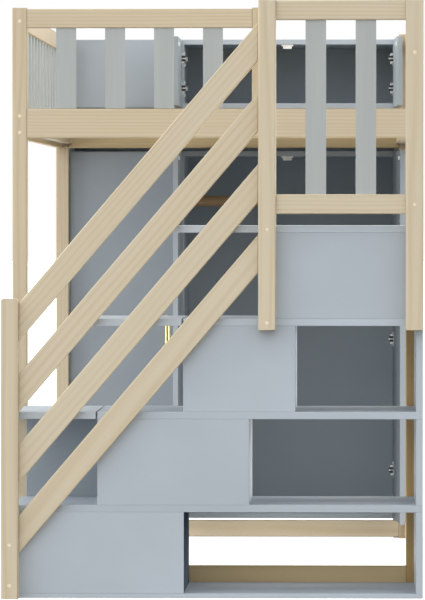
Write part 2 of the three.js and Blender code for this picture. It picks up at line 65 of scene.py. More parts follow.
# Where the frame's pieces run, and what they are made of
UPRIGHT_TIMBER = (
    *(f"{end}_{side}_post" for end in ("front", "rear") for side in ("left", "right")),
    *("entry_post", "newel_post", "landing_left_post", "landing_right_post"),
)
CROSS_TIMBER = ("front_beam", "rear_beam", "front_bottom_rail", "rear_bottom_rail")
SIDE_TIMBER = ("left_beam", "right_beam", "right_bottom_rail")
# Timber faces with painted shade and painted light: the photograph shows them in a warmer colour,
# behind the stairs and under the bed
PAINTED_SHADE_AND_LIGHT_FACES = {
    "front_right_post": (-BACK, -ACROSS),
    "front_bottom_rail": (-BACK,),
    "rear_bottom_rail": (-BACK,),
    "right_bottom_rail": (-ACROSS,),
    "rear_beam": (-BACK,),
    "left_beam": (ACROSS,),
}
SLOPING_BOARDS = tuple(f"sloping_board_{number}" for number in range(1, 5))
STAIR_TIMBER = ("newel_post", "landing_left_post", "landing_right_post", *SLOPING_BOARDS)
GUARDS = {
    "front_guard": ACROSS,
    "left_guard": BACK,
    "right_guard": BACK,
    "landing_guard": ACROSS,
}
STAIR_BOARDS = (
    "stair_base_board",
    "cubby_back",
    *(f"stair_board_{number}" for number in range(1, 5)),
    *(f"stair_side_{number}" for number in range(1, 5)),
    *(f"step_box_{number}" for number in range(1, 5)),
    *(f"tread_{number}" for number in range(2, 5)),
)
# Painted shade: this box's inner end that looks along X is painted dark and without gloss
SHADE_PAINTED_END_BOX = "step_box_1"
WARDROBE_BOARDS = ("wardrobe_floor", "wardrobe_upper_floor", "wardrobe_back")
# The way each panel's hinges stand out of it, along X, and the rows of doors they carry
HINGED_PANELS = {
    "wardrobe_left_side": (1, ("lower", "upper")),
    "wardrobe_lower_divider": (1, ("lower",)),
    "wardrobe_upper_divider": (1, ("upper",)),
    "wardrobe_right_side": (-1, ("lower", "upper")),
}
CATCH_BOARDS = ("wardrobe_lower_roof", "wardrobe_top")
# How far each door is turned at rest, in degrees
DOOR_ANGLES = {
    "lower": {"left": 0.0, "middle": -90.0, "right": 93.25},
    "upper": {"left": 0.0, "middle": -90.0, "right": 91.75},
}
DOORS = tuple((row, column) for row, columns in DOOR_ANGLES.items() for column in columns)
# Painted shade and painted light: how much darker or lighter than the common colour some boards are
# painted, to match the shade and light on them in the photograph. The tones of doors hold for their
# edges.
BOARD_SHADE_AND_LIGHT_TONES = {
    "upper_left_door": 0.77,
    "lower_left_door": 0.68,
    "upper_middle_door": 0.65,
    "upper_right_door": 0.85,
    "cubby_back": 0.72,
    "stair_board_1": 0.95,
    "stair_board_3": 1.1,
    "stair_board_4": 1.12,
    "step_box_2": 0.95,
    "front_guard": 0.97,
}
# The same for those timber faces: painted shade, darker behind the front beam, and painted light,
# lighter near the floor
TIMBER_SHADE_AND_LIGHT_TONES = {"rear_beam": 0.68, "rear_bottom_rail": 1.3, "right_bottom_rail": 1.3}
# Painted light from below: every timber underside gets the shaded pine made this much lighter
UNDERSIDE_LIGHT_TONE = 1.3
# The same for the fronts of all doors in a row: painted shade, one tone for each row
DOOR_SHADE_TONES = {"lower": 0.68, "upper": 0.79}
# The same for the backs of doors: painted shade
DOOR_BACK_SHADE_TONES = {"lower_right_door": 0.45}
# Lowest and highest hinge from a door's foot and head, and how many there are
HINGE_INSETS = {"lower": (147 * MM, 168 * MM, 3), "upper": (57 * MM, 57 * MM, 2)}

# Sizes of the frame's solids
BOARD_THICKNESS = 15 * MM
DIVIDER_THICKNESS = 30 * MM
GUARD_SLAT_THICKNESS = 12 * MM
CATCH_HEIGHT = 4 * MM
CUP_DEPTH = 10 * MM
CUP_FLANGE = 1 * MM
HANDLE_PROJECTION = 14.5 * MM
HANDLE_FLAT = 43 * MM
HANDLE_FOOT = 4.5 * MM

# Points of a solid nearer than this lie in the same face, further ones on a fitting
PROUD = 0.4 * MM
SLACK = 0.2 * MM
# How far screws and catch plates are let into what they sit on
SCREW_SUNK = 0.2 * MM
STRIKE_SUNK = 0.1 * MM
# Everything this far below the deck's top belongs to its cross slats
DECK_SLAT_ZONE = 12.5 * MM
# Shorter edges stay sharp, among them those of the hinge mortises
SHORTEST_EASED = 13.5 * MM
SAME_POINT = 0.02 * MM
# Faces whose normals agree more than this cosine meet in no edge
EVEN_COSINE = 0.9
DECK_EASING = 0.8 * MM
RING_CONTRAST = 0.36

# Hinge arms: out of the panel, behind the carcass's front, and up and down
PLATE_PROUD = 2.5 * MM
PLATE_SCREW_RUN = 24 * MM
PLATE_SCREW_LIFT = 17 * MM
PLATE_SCREW_HEIGHT = 1.6 * MM
ARM_PROUD = 10 * MM
ARM_SCREW_RUNS = (28 * MM, 46 * MM)
ARM_SCREW_HEIGHT = 0.8 * MM
DAMPER_PROUD = (9.9 * MM, 10.7 * MM)
DAMPER_RUN = (4 * MM, 21 * MM)
DAMPER_LIFT = 5.2 * MM
CUP_SCREW_LIFT = 21.5 * MM
CUP_SCREW_HEIGHT = 0.7 * MM
# Blocks in a hinge cup, in millimetres: foot, head and how far out of the door
CUP_CHEEKS = ((-16, -8, 9), (-2.5, 2.5, 14), (8, 16, 9))
CUP_DAMPERS = ((-7.9, -2.6, 12), (2.6, 7.9, 12))
# And of each kind: both ends across the cup, rounding and its steps
CHEEK_FORM = (-5, 11, 2.2, 3)
DAMPER_FORM = (-4, 10, 0.8, 2)
CUP_BLOCK_DEPTH = 7 * MM
# Catch plates: inside the door's free edge
STRIKE_INSET = 6 * MM

# Stage
FLOOR_DROP = 0.2 * MM
SENSOR_WIDTH = 36.0
AIM_ASIDE = 2.4 * MM
AIM_HEIGHT = 758 * MM

# Bolt caps sit in recesses in the posts: the way each face looks, its caps' heights
RECESS_DEPTH = 3 * MM
BED_CAPS = ((-BACK, (1.189, 1.232, 1.48)),)
CAPPED_POSTS = {
    "newel_post": ((-BACK, (0.034, 0.136)), (-ACROSS, (0.227, 0.394, 0.538, 0.6775))),
    "landing_left_post": ((-BACK, (0.7, 0.936)), (ACROSS, (0.875, 1.038, 1.202, 1.3715))),
    "landing_right_post": ((-BACK, (0.999, 1.383)), (ACROSS, (1.182, 1.429))),
    "front_left_post": BED_CAPS,
    "front_right_post": BED_CAPS,
}

# Each wood's name, its colour between the rings and its colour in them
WOODS = {
    "pine": ("Pine of the stairs", (206, 195, 173), (180, 161, 124)),
    "bed": ("Pine of the bed", (202, 189, 166), (175, 155, 116)),
    # Painted shade: the next two are pine coloured as it looks in shade, on faces behind the stairs
    # and under the bed
    "shaded": ("Pine in the shade", (219, 195, 150), (192, 165, 113)),
    "corner": ("Post behind the stairs", (203, 169, 112), (176, 140, 84)),
    "deck": ("Deck slats", (200, 185, 154), (174, 152, 112)),
    "rod": ("Hanging rod", (198, 165, 122), (160, 122, 78)),
}


def display_colour(red, green, blue):
    """A colour given as the eye sees it, from 0 to 255, as scene light."""

    def channel(value):
        share = value / 255
        return share / 12.92 if share <= 0.04045 else ((share + 0.055) / 1.055) ** 2.4

    return tuple(channel(value) for value in (red, green, blue))


def toned(colour, tone):
    return tuple(min(1.0, channel * tone) for channel in colour)


def colour_setting(name, description, red, green, blue):
    return bpy.props.FloatVectorProperty(
        name=name,
        description=description,
        subtype="COLOR",
        size=3,
        min=0.0,
        max=1.0,
        default=display_colour(red, green, blue),
    )


def length_setting(name, description, millimetres):
    return bpy.props.FloatProperty(
        name=name,
        description=description,
        unit="LENGTH",
        min=0.0,
        precision=5,
        default=millimetres * MM,
    )


def strength_setting(name, description, value):
    return bpy.props.FloatProperty(name=name, description=description, min=0.0, default=value)


class LoftBedFinishes(bpy.types.PropertyGroup):
    """Colours and surface sizes of the bed's finishes."""

    board_colour: colour_setting("Board", "Painted board of stairs and wardrobe", 172, 181, 189)
    inner_shade_colour: colour_setting("Inner board, painted shade", "Painted board inside the wardrobe", 155, 166, 174)
    box_end_colour: colour_setting("Lowest box, painted shade on end", "Dull end of the lowest box", 76, 84, 94)
    slat_colour: colour_setting("Guard slats", "Paint of the guard slats", 166, 171, 170)
    brass_colour: colour_setting("Handles", "Pale brass of the bow handles", 232, 218, 150)
    steel_colour: colour_setting("Hinges", "Nickel plated steel", 205, 207, 210)
    cap_colour: colour_setting("Bolt caps", "Cream plastic caps over the bolts", 232, 219, 193)
    catch_colour: colour_setting("Catches", "White plastic of the catches", 238, 238, 234)
    damper_colour: colour_setting("Hinge dampers", "Dark plastic in the hinges", 38, 39, 42)
    floor_colour: colour_setting("Floor", "Plain pale floor", 246, 246, 246)
    ring_spacing: length_setting("Ring spacing", "Distance between rings in the pine", 7.5)
    timber_easing: length_setting("Timber easing", "Rounding of the timber's edges", 1.2)
    board_easing: length_setting("Board easing", "Rounding of the wardrobe's edges", 0.6)
    stair_easing: length_setting("Stair easing", "Rounding of the stair boards' edges", 1.2)


def add_wood_settings(settings):
    """Two colours for each wood in the table."""
    for key, (name, *colours) in WOODS.items():
        for tone, place, colour in zip(("light", "dark"), ("between", "of"), colours):
            about = f"Wood {place} the rings"
            settings[f"{key}_{tone}"] = colour_setting(f"{name}, {tone}", about, *colour)


add_wood_settings(LoftBedFinishes.__annotations__)


class LoftBedFittings(bpy.types.PropertyGroup):
    """Sizes of the small fittings."""

    cap_diameter: length_setting("Cap diameter", "Bolt cap across its rim", 10.5)
    cap_height: length_setting("Cap height", "Bolt cap from the floor of its recess", 2.9)
    screw_diameter: length_setting("Screw head", "Screw head across", 6.0)
    strike_width: length_setting("Strike width", "Catch plate on a door, across", 26)
    strike_height: length_setting("Strike height", "Catch plate on a door, up", 11)
    strike_thickness: length_setting("Strike thickness", "How far a catch plate stands in", 4)
    handle_width: length_setting("Handle width", "Bow handle's bar across", 7)


class LoftBedStage(bpy.types.PropertyGroup):
    """Floor, light and camera."""

    floor_radius: length_setting("Floor radius", "Half the width of the floor", 90000)
    floor_glow: strength_setting("Floor glow", "Light of the floor itself", 0.9)
    sky_light: strength_setting("Sky light", "Soft light from above the horizon", 1.57)
    top_light: strength_setting("Top light", "How much brighter the sky is overhead", 0.35)
    back_light: strength_setting("Back light", "How much brighter the sky is behind", 0.4)
    left_light: strength_setting("Left light", "How much brighter the sky is on the left", 0.7)
    ground_light: strength_setting("Ground light", "Soft light from below the horizon", 0.12)
    front_power: strength_setting("Front light", "Watts of the light in front on the left", 60)
    low_power: strength_setting("Low light", "Watts of the light low on the left", 150)
    side_power: strength_setting("Side light", "Watts of the light behind on the right", 130)
    camera_height: length_setting("Camera height", "Height of the camera", 973)
    camera_aside: length_setting("Camera aside", "Camera to the right of the bed's middle", 349)
    camera_back: length_setting("Camera distance", "Camera in front of the stairs", 12500)
    camera_lens: bpy.props.FloatProperty(
        name="Lens",
        description="Focal length of the camera in millimetres",
        min=1.0,
        default=297.1,
    )


class Value:
    """A shader socket that takes part in sums. Each sum adds its own Math node."""

    def __init__(self, finish, socket):
        self.finish = finish
        self.socket = socket

    def _math(self, operation, *terms):
        node = self.finish.node(
            "ShaderNodeMath", {"operation": operation}, dict(enumerate(terms))
        )
        return Value(self.finish, node.outputs[0])

    def __add__(self, other):
        return self._math("ADD", self, other)

    def __radd__(self, other):
        return self._math("ADD", other, self)

    def __sub__(self, other):
        return self._math("SUBTRACT", self, other)

    def __rsub__(self, other):
        return self._math("SUBTRACT", other, self)

    def __mul__(self, other):
        return self._math("MULTIPLY", self, other)

    def __rmul__(self, other):
        return self._math("MULTIPLY", other, self)

    def __pow__(self, other):
        return self._math("POWER", self, other)

    def sine(self):
        return self._math("SINE", self)

    def root(self):
        return self._math("SQRT", self)


class NodeTree:
    """A node tree under construction."""

    def __init__(self, tree):
        self.tree = tree
        self.tree.nodes.clear()

    def node(self, kind, settings=None, inputs=None):
        """A node of that type. Its settings come first, then the values or links of its sockets."""
        node = self.tree.nodes.new(kind)
        for name, setting in (settings or {}).items():
            setattr(node, name, setting)
        for name, given in (inputs or {}).items():
            if isinstance(given, Value):
                self.tree.links.new(given.socket, node.inputs[name])
            else:
                node.inputs[name].default_value = given
        return node

    def value(self, kind, output, settings=None, inputs=None):
        return Value(self, self.node(kind, settings, inputs).outputs[output])

    def band(self, value, low, high, least=0.0, most=1.0):
        """Maps low to least and high to most, and holds both ends."""
        inputs = {0: value, 1: low, 2: high, 3: least, 4: most}
        return self.value("ShaderNodeMapRange", 0, {"clamp": True}, inputs)


class Finish(NodeTree):
    """One material under construction, measured in metres from the object's own origin."""

    def __init__(self, name):
        self.material = bpy.data.materials.new(name)
        self.material.use_nodes = True
        super().__init__(self.material.node_tree)
        self.place = self.value("ShaderNodeTexCoord", "Object")

    def along(self, direction):
        """How far a point lies along a direction."""
        settings = {"operation": "DOT_PRODUCT"}
        inputs = {0: self.place, 1: tuple(direction)}
        return self.value("ShaderNodeVectorMath", "Value", settings, inputs)

    def axes(self, along):
        """How far a point lies along a direction and along two more square to it."""
        return [self.along(way) for way in (along, *side_directions(along))]

    def point(self, x, y, z):
        return self.value("ShaderNodeCombineXYZ", 0, None, {0: x, 1: y, 2: z})

    def stretched(self, axes, coarse, fine, shift=0.0):
        """A place in a pattern that is drawn out along the first of three axes."""
        length, side, rise = axes
        return self.point(length * coarse + shift, side * fine, rise * fine)

    def noise(self, where, scale=1.0, detail=2.0, roughness=0.5, distortion=0.0):
        inputs = {
            "Vector": where,
            "Scale": scale,
            "Detail": detail,
            "Roughness": roughness,
            "Distortion": distortion,
        }
        return self.value("ShaderNodeTexNoise", 0, None, inputs)

    def blend(self, share, first, second):
        """Two colours through a Mix node."""
        inputs = {0: share, 6: (*first, 1.0), 7: (*second, 1.0)}
        return self.value("ShaderNodeMix", 2, {"data_type": "RGBA"}, inputs)

    def bump(self, height, distance, strength):
        inputs = {"Strength": strength, "Distance": distance, "Height": height}
        return self.value("ShaderNodeBump", "Normal", None, inputs)

    def done(self, **sockets):
        """The finished material. Socket names are written with underscores."""
        inputs = {name.replace("_", " "): given for name, given in sockets.items()}
        surface = self.value("ShaderNodeBsdfPrincipled", "BSDF", None, inputs)
        self.node("ShaderNodeOutputMaterial", None, {"Surface": surface})
        return self.material


def finishes():
    return bpy.context.scene.loft_bed_finishes


def wood_colours(key):
    return getattr(finishes(), f"{key}_light"), getattr(finishes(), f"{key}_dark")


def fittings():
    return bpy.context.scene.loft_bed_fittings


def side_directions(along):
    """Two directions square to a timber's length."""
    across = along.cross(BACK) if abs(along.dot(BACK)) < 0.9 else along.cross(UP)
    across.normalize()
    return across, along.cross(across)


def wood(name, along, seed, light, dark, spacing):
    """Sawn softwood: rings round a pith outside the piece, long fibres and slow changes of tone."""
    finish = Finish(name)
    chance = random.Random(seed)
    pith_angle = chance.uniform(0, math.tau)
    pith_distance = chance.uniform(0.16, 0.30)
    shift = chance.uniform(0, 40)
    length, side, rise = finish.axes(along.normalized())
    side = side + pith_distance * math.cos(pith_angle)
    rise = rise + pith_distance * math.sin(pith_angle)
    axes = (length, side, rise)
    wander = finish.noise(finish.stretched(axes, 0.9, 5, shift))
    radius = (side * side + rise * rise).root() + (wander - 0.5) * (22 * MM)
    breadth = finish.noise(finish.point(radius * 55 + shift, length * 0.6, 0.0), detail=1.0)
    wave = (radius * (math.tau / spacing) + breadth * 5.0).sine() * 0.5 + 0.5
    late = wave ** 2.4
    fibre = finish.noise(finish.stretched(axes, 9, 900, shift), detail=3.0, roughness=0.6)
    streak = finish.noise(finish.stretched(axes, 1.6, 120, shift), roughness=0.55)
    slow = finish.noise(finish.point(length * 1.1, side * 7 + shift, rise * 7))
    ring_strength = finish.band(slow, 0.3, 0.7, 0.55, 1.0)
    darkness = late * ring_strength * RING_CONTRAST
    darkness = darkness + (streak - 0.5) * 0.4 + (fibre - 0.5) * 0.25 + (slow - 0.5) * 0.3 + 0.15
    colour = finish.blend(finish.band(darkness, -0.15, 1.0), light, dark)
    grain_height = fibre * 0.5 + streak * 0.3 - late * 0.4
    return finish.done(
        Base_Color=colour,
        Roughness=finish.band(fibre + late * 0.3, 0.2, 1.1, 0.62, 0.44),
        Normal=finish.bump(grain_height, 0.18 * MM, 0.6),
        Specular_IOR_Level=0.4,
    )


def painted_board(name, colour, seed, gloss=0.35):
    """Painted board: a soft orange peel, faint cloudiness and a little dust in the gloss."""
    finish = Finish(name)
    shift = Vector((seed * 1.7, seed * 2.3, seed * 0.9))
    place = finish.value(
        "ShaderNodeVectorMath", 0, {"operation": "ADD"}, {0: finish.place, 1: tuple(shift)}
    )
    cloud = finish.noise(place, 3.0, 3.0, 0.55)
    speck = finish.noise(place, 900.0, roughness=0.6)
    peel = finish.noise(place, 420.0)
    rub = finish.noise(place, 16.0, 4.0, 0.65, 0.6)
    tone = finish.band(cloud * 0.7 + speck * 0.3, 0.3, 0.7)
    return finish.done(
        Base_Color=finish.blend(tone, toned(colour, 0.93), toned(colour, 1.06)),
        Roughness=finish.band(rub, 0.3, 0.7, 0.46, 0.6),
        Normal=finish.bump(peel * 0.7 + speck * 0.3, 0.12 * MM, 0.5),
        Specular_IOR_Level=gloss,
    )


def painted_slat(name, colour, along, seed):
    """Paint over planed wood: the long grain still shows a little."""
    finish = Finish(name)
    axes = finish.axes(along)
    grain = finish.noise(finish.stretched(axes, 5, 260, seed), detail=3.0, roughness=0.6)
    broad = finish.noise(finish.stretched(axes, 1.2, 20, seed))
    tone = finish.band(grain * 0.5 + broad * 0.5, 0.3, 0.7)
    return finish.done(
        Base_Color=finish.blend(tone, toned(colour, 0.92), toned(colour, 1.05)),
        Roughness=finish.band(grain, 0.3, 0.7, 0.5, 0.62),
        Normal=finish.bump(grain, 0.15 * MM, 0.6),
        Specular_IOR_Level=0.35,
    )


def plated_metal(name, colour, along, smooth, rough):
    """Plated metal with fine polishing lines and a few duller patches."""
    finish = Finish(name)
    lines = finish.noise(finish.stretched(finish.axes(along), 60, 3000))
    patches = finish.noise(finish.place, 90.0, 3.0, 0.6)
    return finish.done(
        Base_Color=finish.blend(finish.band(patches, 0.35, 0.75), colour, toned(colour, 0.86)),
        Metallic=1.0,
        Roughness=finish.band(lines * 0.6 + patches * 0.4, 0.3, 0.7, smooth, rough),
        Normal=finish.bump(lines, 0.03 * MM, 0.5),
    )


def moulded_plastic(name, colour, roughness):
    """Moulded plastic: even colour, a fine grain and slightly uneven gloss."""
    finish = Finish(name)
    grain = finish.noise(finish.place, 1500.0)
    cloud = finish.noise(finish.place, 60.0)
    return finish.done(
        Base_Color=finish.blend(finish.band(cloud, 0.35, 0.65), toned(colour, 0.94), colour),
        Roughness=finish.band(grain, 0.3, 0.7, roughness - 0.07, roughness + 0.07),
        Normal=finish.bump(grain, 0.02 * MM, 0.6),
    )


def mark_long_edges(mesh):
    """Marks the sharp edges that are long enough to be eased. Imported faces share no corners."""

    def place(ends):
        points = [mesh.vertices[index].co for index in ends]
        return tuple(sorted(tuple(round(value, 5) for value in point) for point in points))

    sides = {}
    for face in mesh.polygons:
        for ends in face.edge_keys:
            sides.setdefault(place(ends), []).append(face.normal.copy())
    marks = mesh.attributes.new("bevel_weight_edge", "FLOAT", "EDGE")
    for edge in mesh.edges:
        first, second = (mesh.vertices[index].co for index in edge.vertices)
        normals = sides.get(place(edge.vertices), [])
        sharp = len(normals) == 2 and normals[0].dot(normals[1]) < EVEN_COSINE
        long_enough = (first - second).length >= SHORTEST_EASED
        marks.data[edge.index].value = 1.0 if sharp and long_enough else 0.0


def ease_edges(piece, width):
    """Rounds a CAD piece's long edges with modifiers, which leaves its own mesh as it is."""
    # Without the imported normals, eased edges shade from their own faces
    imported = piece.data.attributes.get("custom_normal")
    if imported:
        piece.data.attributes.remove(imported)
    mark_long_edges(piece.data)
    weld = piece.modifiers.new("Joined corners", "WELD")
    weld.merge_threshold = SAME_POINT
    easing = piece.modifiers.new("Eased edges", "BEVEL")
    easing.limit_method = "WEIGHT"
    easing.width = width
    easing.segments = 2
    easing.use_clamp_overlap = False


def finish_node(node, materials, choose, easing):
    """Gives a CAD piece its materials. choose takes a face's points and normal, gives a number."""
    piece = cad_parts[node]
    mesh = piece.data
    mesh.materials.clear()
    for material in materials:
        mesh.materials.append(material)
    for face in mesh.polygons:
        points = [mesh.vertices[index].co for index in face.vertices]
        face.material_index = choose(points, face.normal)
    ease_edges(piece, easing)


def mesh_piece(name, shape, material, body, smooth=True):
    """A new piece from bmesh data that rides on a body of the frame."""
    mesh = bpy.data.meshes.new(name)
    bmesh.ops.recalc_face_normals(shape, faces=shape.faces)
    shape.to_mesh(mesh)
    shape.free()
    mesh.materials.append(material)
    for face in mesh.polygons:
        face.use_smooth = smooth
    piece = bpy.data.objects.new(name, mesh)
    bpy.context.scene.collection.objects.link(piece)
    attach(piece, body)
    return piece


def join_rings(shape, rings):
    """Adds the faces between rings of corners. A ring of one corner is a tip."""
    for low, high in zip(rings, rings[1:]):
        steps = max(len(low), len(high))
        for step in range(steps):
            after = (step + 1) % steps
            if len(high) == 1:
                shape.faces.new((low[step], low[after], high[0]))
            elif len(low) == 1:
                shape.faces.new((low[0], high[after], high[step]))
            else:
                shape.faces.new((low[step], low[after], high[after], high[step]))


def turned(shape, outline, place, steps=24):
    """Adds a turned solid. The outline holds radius and height pairs, from foot to head."""
    rings = []
    for radius, height in outline:
        ring = []
        for step in range(steps if radius else 1):
            turn = math.tau * step / steps
            point = Vector((radius * math.cos(turn), radius * math.sin(turn), height))
            ring.append(shape.verts.new(place @ point))
        rings.append(ring)
    join_rings(shape, rings)


def looks(normal, way):
    """Whether a face looks roughly that way."""
    return normal.dot(way) > 0.5


def facing(point, normal):
    """A placing that stands local Z along a normal at a point."""
    return Matrix.Translation(point) @ normal.to_track_quat("Z", "Y").to_matrix().to_4x4()


def rounded_block(shape, low, high, radius, segments=2):
    """Adds a block between two corners with rounded edges."""
    size = high - low
    middle = Matrix.Translation((low + high) / 2) @ Matrix.Diagonal((*size, 1.0))
    corners = bmesh.ops.create_cube(shape, size=1.0, matrix=middle)["verts"]
    edges = list({edge for corner in corners for edge in corner.link_edges})
    bmesh.ops.bevel(
        shape, geom=edges, offset=radius, segments=segments, affect="EDGES", profile=0.5
    )


class LOFTBED_OT_timber(bpy.types.Operator):
    """Finish the posts, beams, rails and sloping boards in pine"""

    bl_idname = "loftbed.timber"
    bl_label = "Pine Timber"

    def execute(self, context):
        finish = finishes()
        slope = self.slope(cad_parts[SLOPING_BOARDS[0]].data)
        groups = ((UP, UPRIGHT_TIMBER), (ACROSS, CROSS_TIMBER), (BACK, SIDE_TIMBER))
        groups += ((slope, SLOPING_BOARDS),)
        runs = [(name, along) for along, names in groups for name in names]
        near, bed, shaded = (wood_colours(key) for key in ("pine", "bed", "shaded"))
        # Painted shade and painted light: a shaded colour for the post behind the stairs, a lighter
        # bed pine for the rear bottom rail, and a lighter shaded pine for all undersides
        shade_and_light_colours = {"front_right_post": wood_colours("corner"), "rear_bottom_rail": bed}
        below = [toned(colour, UNDERSIDE_LIGHT_TONE) for colour in shaded]
        for number, (name, along) in enumerate(runs):
            kinds = {"pine of": near if name in STAIR_TIMBER else bed, "pine under": below}
            if name in PAINTED_SHADE_AND_LIGHT_FACES:
                tone = TIMBER_SHADE_AND_LIGHT_TONES.get(name, 1.0)
                kinds["shaded pine of"] = [
                    toned(colour, tone) for colour in shade_and_light_colours.get(name, shaded)
                ]
            woods = [
                wood(f"{kind} {name}", along, number + 11, *colours, finish.ring_spacing)
                for kind, colours in kinds.items()
            ]

            def choose(points, normal, ways=PAINTED_SHADE_AND_LIGHT_FACES.get(name, ())):
                if looks(normal, -UP):
                    return 1
                return 2 if any(looks(normal, way) for way in ways) else 0

            finish_node(name, woods, choose, finish.timber_easing)
        return {"FINISHED"}

    def slope(self, mesh):
        """The direction that a sloping board climbs in, from the tops of its two ends."""
        points = [vertex.co for vertex in mesh.vertices]
        left, right = min(point.x for point in points), max(point.x for point in points)
        foot = max(point.z for point in points if point.x < left + 0.1 * MM)
        head = max(point.z for point in points if point.x > right - 0.1 * MM)
        return Vector((right - left, 0, head - foot)).normalized()


class LOFTBED_OT_guards(bpy.types.Operator):
    """Finish the guards: pine rails and painted slats"""

    bl_idname = "loftbed.guards"
    bl_label = "Guards"

    def execute(self, context):
        finish = finishes()
        for number, (name, along) in enumerate(GUARDS.items()):
            colours = wood_colours("pine" if name == "landing_guard" else "bed")
            pine = wood(f"pine rails of {name}", along, number + 51, *colours, finish.ring_spacing)
            # Painted shade on the slats of some guards
            slat_colour = toned(finish.slat_colour, BOARD_SHADE_AND_LIGHT_TONES.get(name, 1.0))
            paint = painted_slat(f"painted slats of {name}", slat_colour, UP, number)
            low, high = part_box(name)
            depth = BACK if along == ACROSS else ACROSS
            front, back = low.dot(depth), high.dot(depth)
            inset = (back - front - GUARD_SLAT_THICKNESS) / 2 - SLACK

            def choose(points, normal, front=front + inset, back=back - inset, depth=depth):
                level = looks(normal, UP) or looks(normal, -UP)
                within = all(front < point.dot(depth) < back for point in points)
                return 1 if within and not level else 0

            finish_node(name, (pine, paint), choose, finish.timber_easing)
        return {"FINISHED"}


class LOFTBED_OT_deck(bpy.types.Operator):
    """Finish the mattress deck in bare wood"""

    bl_idname = "loftbed.deck"
    bl_label = "Mattress Deck"

    def execute(self, context):
        finish = finishes()
        colours = wood_colours("deck")
        ledgers = wood("bare wood of the ledgers", BACK, 71, *colours, finish.ring_spacing)
        slats = wood("bare wood of the deck slats", ACROSS, 72, *colours, finish.ring_spacing)
        slat_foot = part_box("slat_deck")[1].z - DECK_SLAT_ZONE

        def choose(points, normal):
            return 1 if all(point.z > slat_foot for point in points) else 0

        finish_node("slat_deck", (ledgers, slats), choose, DECK_EASING)
        return {"FINISHED"}


class LOFTBED_OT_staircase(bpy.types.Operator):
    """Finish the cupboard staircase in painted board"""

    bl_idname = "loftbed.staircase"
    bl_label = "Staircase"

    def execute(self, context):
        finish = finishes()
        for number, name in enumerate(STAIR_BOARDS):
            # Painted shade and painted light: some boards darker or lighter than the common colour
            colour = toned(finish.board_colour, BOARD_SHADE_AND_LIGHT_TONES.get(name, 1.0))
            paints = [painted_board(f"painted {name}", colour, number + 1)]
            # Painted shade on that box's end: a dark colour without gloss
            if name == SHADE_PAINTED_END_BOX:
                end_colour = finish.box_end_colour
                paints.append(painted_board(f"dull end of {name}", end_colour, number + 21, 0.0))

            def choose(points, normal, end=len(paints) - 1):
                return end if looks(normal, ACROSS) else 0

            finish_node(name, paints, choose, finish.stair_easing)
        return {"FINISHED"}


class LOFTBED_OT_wardrobe(bpy.types.Operator):
    """Finish the wardrobe's boards, hinge arms, rod sockets and magnetic catches"""

    bl_idname = "loftbed.wardrobe"
    bl_label = "Wardrobe"

    def execute(self, context):
        finish = finishes()
        outer = painted_board("painted wardrobe board", finish.board_colour, 41)
        # Painted shade: faces inside the wardrobe get a darker copy of the board's paint
        inner = painted_board("painted board inside the wardrobe", finish.inner_shade_colour, 42)
        steel = plated_metal("nickel hinge arm", finish.steel_colour, BACK, 0.16, 0.34)
        plastic = moulded_plastic("white catch", finish.catch_colour, 0.4)
        (left, carcass_front, _), (right, _, _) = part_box("wardrobe_floor")

        def takes_inside_shade(points, normal):
            """Whether a face looks into the wardrobe, away from its front edges and outsides, and
            so gets the painted shade.
            """
            if any(point.y < carcass_front + PROUD for point in points):
                return False
            within = all(left - MM < point.x < right + MM for point in points)
            return within or looks(normal, -BACK)

        def dress(name, materials, is_fitting):
            def choose(points, normal):
                if any(is_fitting(point) for point in points):
                    return 2
                return 1 if takes_inside_shade(points, normal) else 0

            finish_node(name, materials, choose, finish.board_easing)

        def before_panel(point):
            return side * (point.x - face) > PROUD or point.y < carcass_front - PROUD

        def below_board(point):
            return point.z < underside - PROUD

        for name in WARDROBE_BOARDS:
            dress(name, (outer, inner), lambda point: False)
        for name, (side, _) in HINGED_PANELS.items():
            face = hinged_face(name)
            dress(name, (outer, inner, steel), before_panel)
        for name in CATCH_BOARDS:
            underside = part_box(name)[1].z - BOARD_THICKNESS
            dress(name, (outer, inner, plastic), below_board)
        return {"FINISHED"}


def door_ways(row, column):
    """The directions at rest from a door's hinges to its free edge and from its front inward."""
    turn = Matrix.Rotation(math.radians(DOOR_ANGLES[row][column]), 3, "Z")
    hand = -1 if column == "right" else 1
    return turn @ (ACROSS * hand), turn @ BACK


def door_reaches(row, column, way):
    """How far each corner of a door lies along a direction."""
    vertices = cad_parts[f"{row}_{column}_door"].data.vertices
    return [vertex.co.dot(way) for vertex in vertices]


def stand_on_door(shape, row, column):
    """Turns a shape that is made along X, Y and Z to a door's free, inward and upward ways."""
    axes = Matrix((*door_ways(row, column), UP)).transposed()
    bmesh.ops.transform(shape, matrix=axes.to_4x4(), verts=shape.verts)


def hinged_face(panel):
    """Where the face of an upright wardrobe panel that carries its hinges lies across the bed."""
    low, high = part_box("wardrobe_floor")
    if "divider" in panel:
        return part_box("wardrobe_upper_divider")[0].x + DIVIDER_THICKNESS
    return low.x if panel == "wardrobe_left_side" else high.x


def hinge_heights(row):
    """The heights of a row's hinges, from the foot and the head of its doors."""
    foot_inset, head_inset, count = HINGE_INSETS[row]
    low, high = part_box(f"{row}_left_door")
    foot, head = low.z + foot_inset, high.z - head_inset
    return [foot + (head - foot) * step / (count - 1) for step in range(count)]


